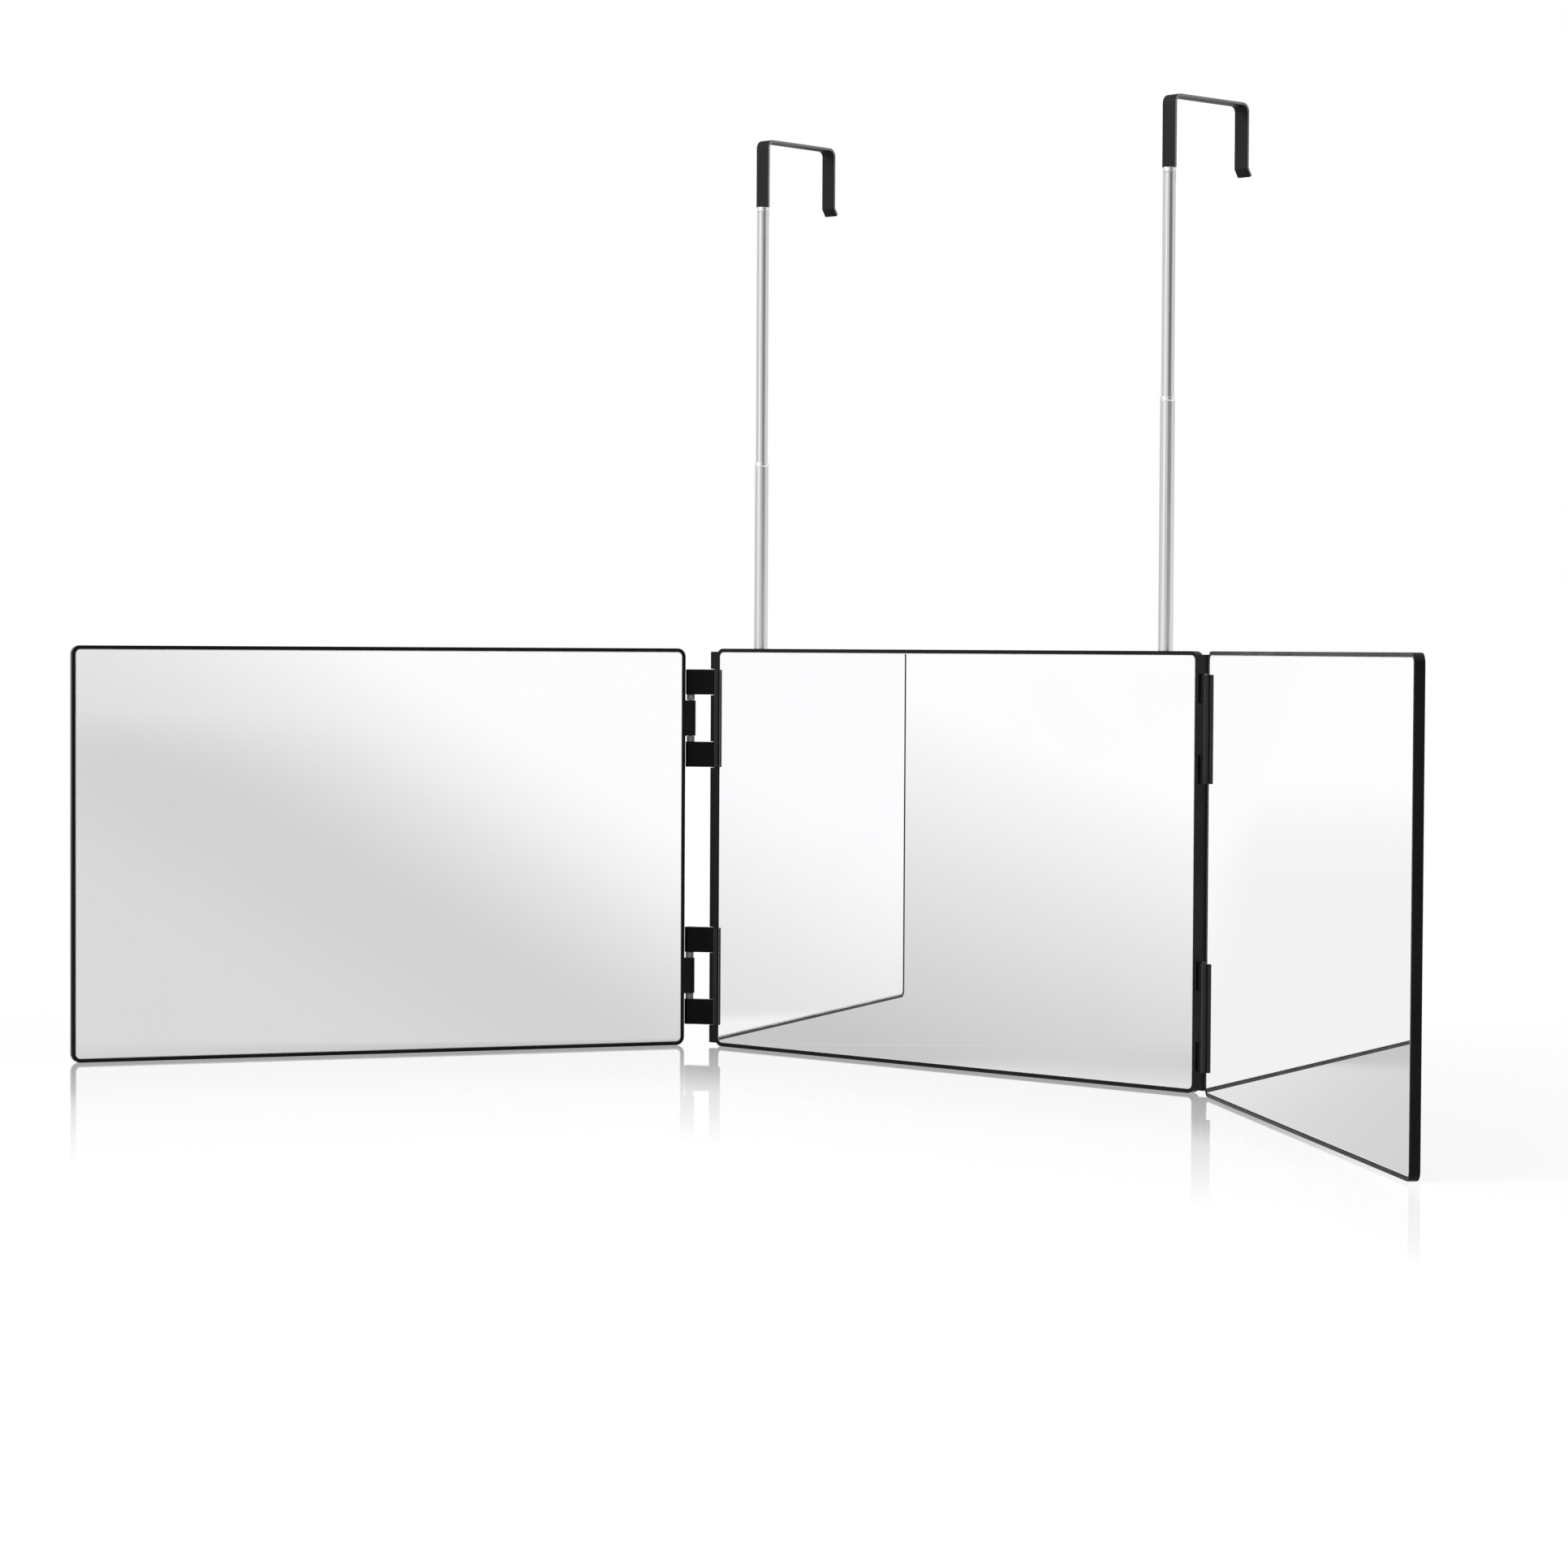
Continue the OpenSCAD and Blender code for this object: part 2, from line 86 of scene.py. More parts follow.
Pair = tuple[float, float]
Profile = Sequence[Pair]
Colour = tuple[float, float, float]
Socket = bpy.types.NodeSocket
Place = tuple[Socket, Socket]
Ring = list[bmesh.types.BMVert]


class Side(Enum):
    """A side of the centre panel, with its word in the names of nodes and bodies."""

    LEFT = "left"
    RIGHT = "right"


# Shader nodes


class Board:
    """Adds nodes to one node tree and joins them."""

    def __init__(self, tree: bpy.types.NodeTree) -> None:
        """Takes the tree that the nodes go into, and empties it."""
        self.tree = tree
        tree.nodes.clear()

    def add(self, kind: str, **settings: object) -> bpy.types.Node:
        """Adds one node.

        Args:
            kind: The node's type, without the words ShaderNode in front.
            **settings: The node's own properties.

        Returns:
            The new node.
        """
        prefix = "" if kind.startswith("NodeGroup") else "ShaderNode"
        node = self.tree.nodes.new(prefix + kind)
        for name, value in settings.items():
            setattr(node, name, value)
        return node

    def join(self, output: Socket, target: Socket) -> None:
        """Links an output to an input."""
        self.tree.links.new(output, target)

    def feed(self, target: Socket, value: object) -> None:
        """Links a socket to an input, or sets the input to a plain value.

        Args:
            target: The input socket.
            value: Another node's output, or the input's own value.
        """
        if isinstance(value, Socket):
            self.join(value, target)
        else:
            target.default_value = value

    def math(self, operation: str, *values: object) -> Socket:
        """Adds a Math node.

        Args:
            operation: The node's operation, such as MULTIPLY.
            *values: Its inputs, as sockets or numbers.

        Returns:
            The result.
        """
        node = self.add("Math", operation=operation)
        for socket, value in zip(node.inputs, values):
            self.feed(socket, value)
        return node.outputs[0]

    def ramp(self, value: object, lowest: object, highest: object, low: object = 0.0, high: object = 1.0,
             smooth: bool = True) -> Socket:
        """Maps a value from one range to another, and holds it at the ends.

        Args:
            value: The value that is mapped.
            lowest: Where the range starts.
            highest: Where the range ends.
            low: The result at the start.
            high: The result at the end.
            smooth: True for a soft start and end.

        Returns:
            The mapped value.
        """
        node = self.add("MapRange", interpolation_type="SMOOTHSTEP" if smooth else "LINEAR")
        for socket, number in zip(node.inputs, (value, lowest, highest, low, high)):
            self.feed(socket, number)
        return node.outputs[0]

    def curve(self, value: object, *stops: Pair, smooth: bool = True) -> Socket:
        """Follows a curve through a few stops, and holds it beyond them.

        Args:
            value: The value that is mapped.
            *stops: The stops in order, each a value and its result.
            smooth: True for a soft bend at each stop.

        Returns:
            The mapped value.
        """
        level: object = stops[0][1]
        for (start, low), (end, high) in zip(stops, stops[1:]):
            level = self.math("ADD", self.ramp(value, start, end, 0.0, high - low, smooth), level)
        return level

    def mix(self, factor: object, first: object, second: object) -> Socket:
        """Mixes two colours.

        Args:
            factor: The share of the second colour.
            first: The first colour, as a socket or four numbers.
            second: The second colour.

        Returns:
            The mixed colour.
        """
        node = self.add("Mix", data_type="RGBA")
        self.feed(node.inputs[0], factor)
        self.feed(node.inputs[6], first)
        self.feed(node.inputs[7], second)
        return node.outputs[2]

    def blend(self, factor: object, first: bpy.types.Node, second: bpy.types.Node) -> bpy.types.Node:
        """Mixes two shaders.

        Args:
            factor: The share of the second shader.
            first: The first shader's node.
            second: The second shader's node.

        Returns:
            The Mix Shader node.
        """
        node = self.add("MixShader")
        self.feed(node.inputs[0], factor)
        self.join(first.outputs[0], node.inputs[1])
        self.join(second.outputs[0], node.inputs[2])
        return node

    def group(self, tree: bpy.types.NodeTree, **inputs: object) -> bpy.types.Node:
        """Places a node group with its own values.

        Args:
            tree: The group.
            **inputs: The group's inputs by name, with spaces as underscores.

        Returns:
            The group node.
        """
        node = self.add("Group", node_tree=tree)
        for name, value in inputs.items():
            self.feed(node.inputs[name.replace("_", " ").title()], value)
        return node


def grey(level: float) -> tuple[float, float, float, float]:
    """A neutral colour."""
    return (level, level, level, 1.0)


def new_group(name: str, inputs: dict[str, float], outputs: Sequence[str]) -> tuple[Board, dict, dict]:
    """Starts a shader node group with named value sockets.

    Args:
        name: The group's name.
        inputs: Each input's name and first value.
        outputs: The names of the outputs.

    Returns:
        The board, the inputs' sockets by name, and the outputs' sockets by name.
    """
    tree = bpy.data.node_groups.new(name, "ShaderNodeTree")
    for label, value in inputs.items():
        socket = tree.interface.new_socket(name=label, in_out="INPUT", socket_type="NodeSocketFloat")
        socket.default_value = value
    for label in outputs:
        tree.interface.new_socket(name=label, in_out="OUTPUT", socket_type="NodeSocketFloat")
    board = Board(tree)
    way_in, way_out = board.add("NodeGroupInput"), board.add("NodeGroupOutput")
    return (
        board,
        {label: way_in.outputs[label] for label in inputs},
        {label: way_out.inputs[label] for label in outputs},
    )


class Effects:
    """The shader node groups that the finishes share, each built once."""

    def __init__(self) -> None:
        """Builds the groups."""
        self.grain = self._grain()
        self.handling = self._handling()
        self.drawing = self._drawing()

    def _grain(self) -> bpy.types.NodeTree:
        """Fine even grain, as spark erosion leaves on a mould.

        Returns:
            The group, with Height and Tone.
        """
        sizes = {"Size": 0.4 * MM, "Softness": 0.5}
        pits_scale, broad_scale, detail, tones = 0.7, 0.02, 4.0, (0.35, 0.65)
        board, inputs, outputs = new_group("Moulded Grain", sizes, ("Height", "Tone"))
        place = board.add("TexCoord").outputs["Object"]
        scale = board.math("DIVIDE", 1.0, inputs["Size"])
        fine = board.add("TexNoise")
        pits = board.add("TexVoronoi", feature="SMOOTH_F1")
        broad = board.add("TexNoise")
        for node in (fine, pits, broad):
            board.join(place, node.inputs["Vector"])
        board.join(scale, fine.inputs["Scale"])
        board.join(board.math("MULTIPLY", scale, pits_scale), pits.inputs["Scale"])
        board.join(board.math("MULTIPLY", scale, broad_scale), broad.inputs["Scale"])
        fine.inputs["Detail"].default_value = detail
        soft = board.math("MULTIPLY", fine.outputs[0], inputs["Softness"])
        board.join(board.math("ADD", soft, pits.outputs[0]), outputs["Height"])
        board.join(board.ramp(broad.outputs[0], *tones), outputs["Tone"])
        return board.tree

    def _handling(self) -> bpy.types.NodeTree:
        """Faint smudges and hairlines, as handling leaves on a polished face.

        Returns:
            The group, with Mark.
        """
        stretch, tilt, hair_scale, hairs, hair_strength = 14.0, (0.5, 0.9, 0.3), 5.0, (0.62, 0.72), 0.4
        barest, fullest, detail, hair_detail, distortion = 0.75, 0.85, 5.0, 2.0, 0.8
        board, inputs, outputs = new_group("Handling Marks", {"Size": 30 * MM, "Cover": 0.4}, ("Mark",))
        place = board.add("TexCoord").outputs["Object"]
        scale = board.math("DIVIDE", 1.0, inputs["Size"])
        smear, hair = board.add("TexNoise"), board.add("TexNoise")
        stretched = board.add("Mapping")
        stretched.inputs["Scale"].default_value = (1.0, 1.0, stretch)
        stretched.inputs["Rotation"].default_value = tilt
        board.join(place, stretched.inputs["Vector"])
        board.join(place, smear.inputs["Vector"])
        board.join(stretched.outputs[0], hair.inputs["Vector"])
        board.join(scale, smear.inputs["Scale"])
        board.join(board.math("MULTIPLY", scale, hair_scale), hair.inputs["Scale"])
        smear.inputs["Detail"].default_value = detail
        smear.inputs["Distortion"].default_value = distortion
        hair.inputs["Detail"].default_value = hair_detail
        smudge = board.ramp(smear.outputs[0], board.math("SUBTRACT", barest, inputs["Cover"]), fullest)
        line = board.ramp(hair.outputs[0], *hairs, 0.0, hair_strength)
        board.join(board.math("MAXIMUM", smudge, line), outputs["Mark"])
        return board.tree

    def _drawing(self) -> bpy.types.NodeTree:
        """Fine lines along Z, as drawing through a die leaves on a tube.

        Returns:
            The group, with Height and Tone.
        """
        lengthening, bands_scale, tones = 0.004, 0.2, (0.3, 0.7)
        board, inputs, outputs = new_group("Drawn Lines", {"Width": 0.2 * MM}, ("Height", "Tone"))
        place = board.add("TexCoord").outputs["Object"]
        along = board.add("Mapping")
        along.inputs["Scale"].default_value = (1.0, 1.0, lengthening)
        board.join(place, along.inputs["Vector"])
        scale = board.math("DIVIDE", 1.0, inputs["Width"])
        lines, bands = board.add("TexNoise"), board.add("TexNoise")
        for node, share in ((lines, 1.0), (bands, bands_scale)):
            board.join(along.outputs[0], node.inputs["Vector"])
            board.join(board.math("MULTIPLY", scale, share), node.inputs["Scale"])
        board.join(lines.outputs[0], outputs["Height"])
        board.join(board.ramp(bands.outputs[0], *tones), outputs["Tone"])
        return board.tree


# Finishes


class Veil(Enum):
    """Which mirror images a piece is left out of, each with the Light Path output and its limit."""

    NONE = ("", "", 0.0)
    FAR = ("Near Images", "Ray Length", 0.33)
    REPEATED = ("Single Images", "Glossy Depth", 1.5)

    @property
    def suffix(self) -> str:
        """The words that a veiled material's name ends with."""
        return f" {self.value[0]}".rstrip()


def new_material(name: str, veil: Veil) -> tuple[bpy.types.Material, Board, bpy.types.Node]:
    """Starts a material with one Principled BSDF.

    Args:
        name: The material's name.
        veil: The mirror images that it is left out of.

    Returns:
        The material, its board and the Principled node.
    """
    material = bpy.data.materials.new(name + veil.suffix)
    material.use_nodes = True
    board = Board(material.node_tree)
    shader = board.add("BsdfPrincipled")
    surface = shader
    if veil is not Veil.NONE:
        _, output, limit = veil.value
        path = board.add("LightPath")
        beyond = board.math("GREATER_THAN", path.outputs[output], limit)
        mirrored = board.blend(beyond, shader, board.add("BsdfTransparent"))
        surface = board.blend(path.outputs["Is Glossy Ray"], shader, mirrored)
    board.join(surface.outputs[0], board.add("OutputMaterial").inputs["Surface"])
    return material, board, shader


def bumped(board: Board, shader: bpy.types.Node, height: Socket, depth: float, strength: float) -> None:
    """Bumps a material's normal.

    Args:
        board: The material's board.
        shader: The Principled node.
        height: The height that the bump follows.
        depth: The height's full depth, in metres.
        strength: The bump's strength.
    """
    bump = board.add("Bump")
    bump.inputs["Strength"].default_value = strength
    bump.inputs["Distance"].default_value = depth
    board.join(height, bump.inputs["Height"])
    board.join(bump.outputs[0], shader.inputs["Normal"])


@dataclass(frozen=True)
class Moulding:
    """Moulded plastic or rubber with a fine grain."""

    name: str
    dark: Colour
    light: Colour
    roughness: Pair
    specular: float
    grain: float
    depth: float
    strength: float
    softness: float = 0.6
    mark_size: float = 25 * MM
    mark_cover: float = 0.3
    mark_dulling: float = 0.05

    def build(self, effects: Effects, veil: Veil) -> bpy.types.Material:
        """Makes the material.

        Args:
            effects: The shared node groups.
            veil: The mirror images that it is left out of.

        Returns:
            The material.
        """
        material, board, shader = new_material(self.name, veil)
        grain = board.group(effects.grain, size=self.grain, softness=self.softness)
        marks = board.group(effects.handling, size=self.mark_size, cover=self.mark_cover)
        tone = grain.outputs["Tone"]
        board.join(board.mix(tone, (*self.dark, 1.0), (*self.light, 1.0)), shader.inputs["Base Color"])
        satin = board.ramp(tone, 0.0, 1.0, *self.roughness)
        handled = board.math("MULTIPLY_ADD", marks.outputs["Mark"], self.mark_dulling, satin)
        board.join(handled, shader.inputs["Roughness"])
        shader.inputs["Specular IOR Level"].default_value = self.specular
        bumped(board, shader, grain.outputs["Height"], self.depth, self.strength)
        return material


@dataclass(frozen=True)
class Silvering:
    """A silvered face of float glass."""

    name: str
    clear: Colour
    marked: Colour
    haze: float
    mark_size: float = 60 * MM
    mark_cover: float = 0.25

    def build(self, effects: Effects, veil: Veil) -> bpy.types.Material:
        """Makes the material.

        Args:
            effects: The shared node groups.
            veil: The mirror images that it is left out of.

        Returns:
            The material.
        """
        material, board, shader = new_material(self.name, veil)
        mark = board.group(effects.handling, size=self.mark_size, cover=self.mark_cover).outputs["Mark"]
        board.join(board.mix(mark, (*self.clear, 1.0), (*self.marked, 1.0)), shader.inputs["Base Color"])
        board.join(board.ramp(mark, 0.0, 1.0, 0.0, self.haze), shader.inputs["Roughness"])
        shader.inputs["Metallic"].default_value = 1.0
        return material


@dataclass(frozen=True)
class Metal:
    """Bright metal with drawn lines and handling marks."""

    name: str
    dark: Colour
    light: Colour
    roughness: Pair
    line: float
    depth: float
    strength: float
    mark_size: float = 12 * MM
    mark_cover: float = 0.35
    mark_dulling: float = 0.06

    def build(self, effects: Effects, veil: Veil) -> bpy.types.Material:
        """Makes the material.

        Args:
            effects: The shared node groups.
            veil: The mirror images that it is left out of.

        Returns:
            The material.
        """
        material, board, shader = new_material(self.name, veil)
        lines = board.group(effects.drawing, width=self.line)
        marks = board.group(effects.handling, size=self.mark_size, cover=self.mark_cover)
        tone = lines.outputs["Tone"]
        board.join(board.mix(tone, (*self.dark, 1.0), (*self.light, 1.0)), shader.inputs["Base Color"])
        polish = board.ramp(tone, 0.0, 1.0, *self.roughness)
        handled = board.math("MULTIPLY_ADD", marks.outputs["Mark"], self.mark_dulling, polish)
        board.join(handled, shader.inputs["Roughness"])
        shader.inputs["Metallic"].default_value = 1.0
        bumped(board, shader, lines.outputs["Height"], self.depth, self.strength)
        return material


class Finish(Enum):
    """The object's finishes."""

    PANEL = Moulding("Panel Moulding", (0.0040, 0.0040, 0.0042), (0.0060, 0.0060, 0.0062), (0.34, 0.40),
                     0.14, 0.45 * MM, 0.02 * MM, 0.12)
    COVER = Moulding("Cover Moulding", (0.0055, 0.0055, 0.0057), (0.0085, 0.0085, 0.0088), (0.36, 0.44),
                     0.32, 0.5 * MM, 0.03 * MM, 0.16)
    LINK = Moulding("Link Moulding", (0.0015, 0.0015, 0.0016), (0.0025, 0.0025, 0.0026), (0.26, 0.32),
                    0.08, 0.4 * MM, 0.01 * MM, 0.06)
    BUMPER = Moulding("Bumper Rubber", (0.018, 0.018, 0.018), (0.026, 0.026, 0.026), (0.62, 0.72),
                      0.25, 0.6 * MM, 0.04 * MM, 0.25)
    COAT = Moulding("Hook Powder Coat", (0.0055, 0.0055, 0.0058), (0.0095, 0.0095, 0.0098), (0.52, 0.62),
                    0.18, 0.7 * MM, 0.03 * MM, 0.22)
    # Painted highlight: a lighter grey for the hook strap's side faces.
    RIM = Moulding("Hook Painted Edge Highlight", (0.19, 0.19, 0.195), (0.25, 0.25, 0.255), (0.45, 0.55),
                   0.40, 0.5 * MM, 0.02 * MM, 0.15)
    SCREW = Moulding("Blackened Screw", (0.012, 0.012, 0.0125), (0.022, 0.022, 0.023), (0.28, 0.38),
                     0.55, 0.3 * MM, 0.01 * MM, 0.10)
    NYLON = Moulding("Natural Nylon", (0.20, 0.20, 0.19), (0.26, 0.26, 0.25), (0.38, 0.46),
                     0.35, 0.5 * MM, 0.01 * MM, 0.08)
    FOAM = Moulding("Foam Tape", (0.72, 0.72, 0.70), (0.86, 0.86, 0.84), (0.85, 0.95),
                    0.15, 0.9 * MM, 0.08 * MM, 0.5)
    EDGE = Moulding("Ground Glass Edge", (0.84, 0.87, 0.87), (0.90, 0.92, 0.92), (0.26, 0.34),
                    0.5, 0.3 * MM, 0.01 * MM, 0.10)
    MIRROR = Silvering("Silvered Glass", (0.988, 0.991, 0.997), (0.974, 0.978, 0.984), 0.012)
    TUBE = Metal("Drawn Steel Tube", (0.66, 0.665, 0.67), (0.76, 0.765, 0.77), (0.14, 0.20),
                 0.22 * MM, 0.006 * MM, 0.25)
    RING = Metal("Polished Ring", (0.86, 0.86, 0.865), (0.92, 0.92, 0.925), (0.12, 0.18),
                 0.30 * MM, 0.004 * MM, 0.15)
    PIN = Metal("Hinge Pin Steel", (0.50, 0.50, 0.51), (0.60, 0.60, 0.61), (0.22, 0.30),
                0.18 * MM, 0.006 * MM, 0.25)


# Meshes


def ride(piece: bpy.types.Object, body: str, slot: str, *nodes: str) -> bpy.types.Object:
    """Puts a piece on its body and hides the nodes that it stands for.

    Args:
        piece: The piece.
        body: The body that it rides on.
        slot: The record's material slot; not used.
        *nodes: The CAD nodes that it replaces.

    Returns:
        The piece.
    """
    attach(piece, body)
    if nodes:
        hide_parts(*nodes)
    LOG.info("%s rides on %s", piece.name, body)
    return piece


def new_object(name: str, mesh: bmesh.types.BMesh, crease: float = CREASE_ANGLE) -> bpy.types.Object:
    """Turns a bmesh into a smooth object with sharp creases.

    Args:
        name: The object's name.
        mesh: The bmesh, which is freed.
        crease: The angle between faces from which an edge stays sharp.

    Returns:
        The new object.
    """
    bmesh.ops.recalc_face_normals(mesh, faces=mesh.faces)
    for face in mesh.faces:
        face.smooth = True
    for edge in mesh.edges:
        edge.smooth = edge.is_manifold and edge.calc_face_angle(0.0) < crease
    data = bpy.data.meshes.new(name)
    mesh.to_mesh(data)
    mesh.free()
    piece = bpy.data.objects.new(name, data)
    bpy.context.scene.collection.objects.link(piece)
    return piece


def paint(piece: bpy.types.Object, *materials: bpy.types.Material) -> None:
    """Gives an object its materials, in the order of its slots.

    Args:
        piece: The object.
        *materials: The materials.
    """
    piece.data.materials.clear()
    for material in materials:
        piece.data.materials.append(material)


def eased(name: str, node: bpy.types.Object, radius: float, segments: int = 2) -> bpy.types.Object:
    """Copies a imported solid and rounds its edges, as a mould or a deburring tool leaves them.

    Args:
        name: The new object's name.
        node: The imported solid's object.
        radius: The radius of the rounded edges.
        segments: The number of faces across a rounded edge.

    Returns:
        The new object.
    """
    mesh = bmesh.new()
    mesh.from_mesh(node.data)
    bmesh.ops.remove_doubles(mesh, verts=mesh.verts, dist=WELD)
    bmesh.ops.dissolve_limit(mesh, angle_limit=FLAT_ANGLE, verts=mesh.verts, edges=mesh.edges)
    sharp = [e for e in mesh.edges if e.is_manifold and e.calc_face_angle(0.0) > EASED_ANGLE]
    bmesh.ops.bevel(mesh, geom=sharp, offset=radius, offset_type="OFFSET", segments=segments, profile=0.5,
                    affect="EDGES", clamp_overlap=True, material=-1)
    piece = new_object(name, mesh)
    level = piece.modifiers.new("Level Faces", "WEIGHTED_NORMAL")
    level.weight = 100
    level.keep_sharp = True
    return piece


def bridge(mesh: bmesh.types.BMesh, first: Ring, second: Ring) -> None:
    """Joins two rings of as many corners with four-sided faces."""
    for face in zip(first, first[1:] + first[:1], second[1:] + second[:1], second):
        mesh.faces.new(face)


def turned(name: str, profile: Profile, axis: Pair, sides: int = 96) -> bpy.types.Object:
    """Turns a closed profile round an upright axis.

    Args:
        name: The object's name.
        profile: The profile's points, each a radius and a height.
        axis: The axis' X and Y.
        sides: The number of sides.

    Returns:
        The new object.
    """
    mesh = bmesh.new()
    rings = []
    for radius, height in profile:
        ring = []
        for side in range(sides):
            angle = 2 * math.pi * side / sides
            place = (axis[0] + radius * math.cos(angle), axis[1] + radius * math.sin(angle), height)
            ring.append(mesh.verts.new(place))
        rings.append(ring)
    for lower, upper in zip(rings, rings[1:] + rings[:1]):
        bridge(mesh, lower, upper)
    return new_object(name, mesh, TURNED_CREASE_ANGLE)


def centre_of(node: str) -> Pair:
    """The X and Y of the middle of a node's box."""
    low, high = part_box(node)
    return ((low.x + high.x) / 2, (low.y + high.y) / 2)


def rounded(points: Profile, radius: float, steps: int = 4) -> list[Pair]:
    """Rounds the corners of a closed outline.

    Args:
        points: The outline's corners.
        radius: The corners' radius, which short sides reduce.
        steps: The number of pieces of each arc.

    Returns:
        The rounded outline.
    """
    result = []
    count = len(points)
    for i, corner in enumerate(points):
        here = Vector(corner)
        back, ahead = Vector(points[i - 1]) - here, Vector(points[(i + 1) % count]) - here
        reach = min(radius, CORNER_SHARE * back.length, CORNER_SHARE * ahead.length)
        start, end = here + back.normalized() * reach, here + ahead.normalized() * reach
        for step in range(steps + 1):
            t = step / steps
            point = start * (1 - t) ** 2 + here * 2 * t * (1 - t) + end * t ** 2
            result.append((point.x, point.y))
    return result


# Sub-assemblies


@dataclass
class Workshop:
    """What every sub-assembly needs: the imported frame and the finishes."""

    frame: dict
    effects: Effects = field(default_factory=Effects)
    made: dict = field(default_factory=dict)

    def material(self, finish: Finish, veil: Veil = Veil.NONE) -> bpy.types.Material:
        """The finish's material under a veil, built when it is first asked for.

        Args:
            finish: The finish.
            veil: The mirror images that the material is left out of.

        Returns:
            The material.
        """
        if (finish, veil) not in self.made:
            self.made[finish, veil] = finish.value.build(self.effects, veil)
        return self.made[finish, veil]

    def node(self, name: str) -> bpy.types.Object:
        """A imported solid's object."""
        return self.frame["nodes"][name]

    def carry(self, finish: Finish, *names: str, veil: Veil = Veil.NONE) -> None:
        """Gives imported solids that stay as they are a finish.

        Args:
            finish: The finish.
            *names: The nodes' names.
            veil: The mirror images that they are left out of.
        """
        for name in names:
            paint(self.node(name), self.material(finish, veil))
            LOG.info("%s stays, in %s", name, finish.value.name)

    def ease(self, piece_name: str, node: str, body: str, slot: str, finish: Finish, radius: float,
             veil: Veil = Veil.NONE) -> bpy.types.Object:
        """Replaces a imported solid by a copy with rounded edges.

        Args:
            piece_name: The new piece's name.
            node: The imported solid's name.
            body: The body that the piece rides on.
            slot: The record's material slot.
            finish: The piece's finish.
            radius: The radius of the rounded edges.
            veil: The mirror images that the piece is left out of.

        Returns:
            The new piece.
        """
        piece = eased(piece_name, self.node(node), radius)
        paint(piece, self.material(finish, veil))
        return ride(piece, body, slot, node)


@dataclass
class MirrorPanel:
    """One framed mirror."""

    shop: Workshop
    word: str
    body: str
    veil: Veil = Veil.NONE
    edge_radius: float = 0.25 * MM
    arris: float = 0.5 * MM
    silvered_share: float = 0.5

    def build(self) -> None:
        """Dresses the frame, the foam and the glass."""
        title = self.word.title()
        self.shop.ease(f"{title}_Frame_Moulding", f"{self.word}_frame", self.body, "panel_plastic",
                       Finish.PANEL, self.edge_radius, self.veil)
        self.shop.carry(Finish.FOAM, f"{self.word}_tape", veil=self.veil)
        self._glass(title)

    def _glass(self, title: str) -> None:
        """Makes the glass, with a silvered face and a ground arris.

        Args:
            title: The panel's word, with a capital.
        """
        node = f"{self.word}_mirror"
        glass = eased(f"{title}_Mirror_Glass", self.shop.node(node), self.arris)
        paint(glass, *(self.shop.material(finish, self.veil) for finish in (Finish.MIRROR, Finish.EDGE)))
        largest = max(face.area for face in glass.data.polygons)
        for face in glass.data.polygons:
            face.material_index = 0 if face.area > self.silvered_share * largest else 1
        ride(glass, self.body, "mirror_glass", node)


@dataclass
class LinkHinge:
    """The two links of one side, which join a wing to the centre panel."""

    shop: Workshop
    side: Side
    arm_radius: float = 0.3 * MM
    washer_radius: float = 0.2 * MM

    def build(self) -> None:
        """Dresses the arms, the washers and the pins."""
        word, title = self.side.value, self.side.value.title()
        body = f"{word}_link"
        self.shop.ease(f"{title}_Link_Arms_Moulding", f"{word}_link_arms", body, "link_plastic", Finish.LINK,
                       self.arm_radius)
        self.shop.ease(f"{title}_Link_Washers_Turned", f"{word}_link_washers", body, "nylon", Finish.NYLON,
                       self.washer_radius)
        self.shop.carry(Finish.PIN, f"{word}_inner_pins", f"{word}_outer_pins")


@dataclass
class RodGuide:
    """The guide of one rod on the centre panel's back."""

    shop: Workshop
    side: Side
    cover_radius: float = 0.4 * MM

    def build(self) -> None:
        """Dresses the cover, the guide tube and its plug."""
        word, title = self.side.value, self.side.value.title()
        self.shop.ease(f"{title}_Guide_Cover_Moulding", f"{word}_guide_cover", "center", "cover_plastic",
                       Finish.COVER, self.cover_radius)
        self.shop.carry(Finish.TUBE, f"{word}_guide_tube")
        self.shop.carry(Finish.NYLON, f"{word}_guide_plug")


